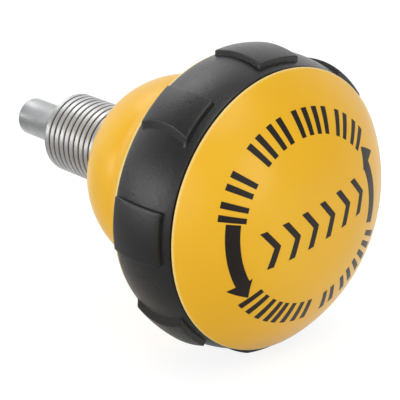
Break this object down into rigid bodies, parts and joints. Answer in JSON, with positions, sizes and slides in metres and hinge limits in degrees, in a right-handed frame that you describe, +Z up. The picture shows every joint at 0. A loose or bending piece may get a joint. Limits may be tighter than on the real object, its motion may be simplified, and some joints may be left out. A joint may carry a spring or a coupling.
{
  "type": "quick release pin",
  "caption": "Spring plunger pull pin with a threaded steel sleeve and a large domed knob with a soft padded grip ring.",
  "frame": {"origin": "on the axis, at the seat face of the drive shoulder where the threaded stretch ends", "axes": "+Y along the axis towards the plunger's tip, -Y towards the domed front of the knob, +Z up"},
  "size_m": [0.058, 0.084, 0.058],
  "materials": {
    "zinc_steel": "bright zinc plate",
    "spring_steel": "oiled wire",
    "bush_brass": "turned",
    "yellow_plastic": "semi-gloss moulded",
    "black_grip": "fine satin texture"
  },
  "bodies": {
    "sleeve": {"threaded_sleeve": "zinc_steel", "guide_bush": "bush_brass", "compression_spring": "spring_steel"},
    "knob": {"plunger_pin": "zinc_steel", "knob_body": "yellow_plastic", "grip_ring": "black_grip", "front_cap": "yellow_plastic", "flat_washer": "zinc_steel", "lock_nut": "zinc_steel"}
  },
  "joints": [
    {"name": "pull", "type": "slide", "parent": "sleeve", "child": "knob", "axis": [0, -1, 0], "range_m": [0, 0.011], "stiffness_N_per_m": 2400, "springref_m": -0.006, "deforming": ["compression_spring"]}
  ]
}
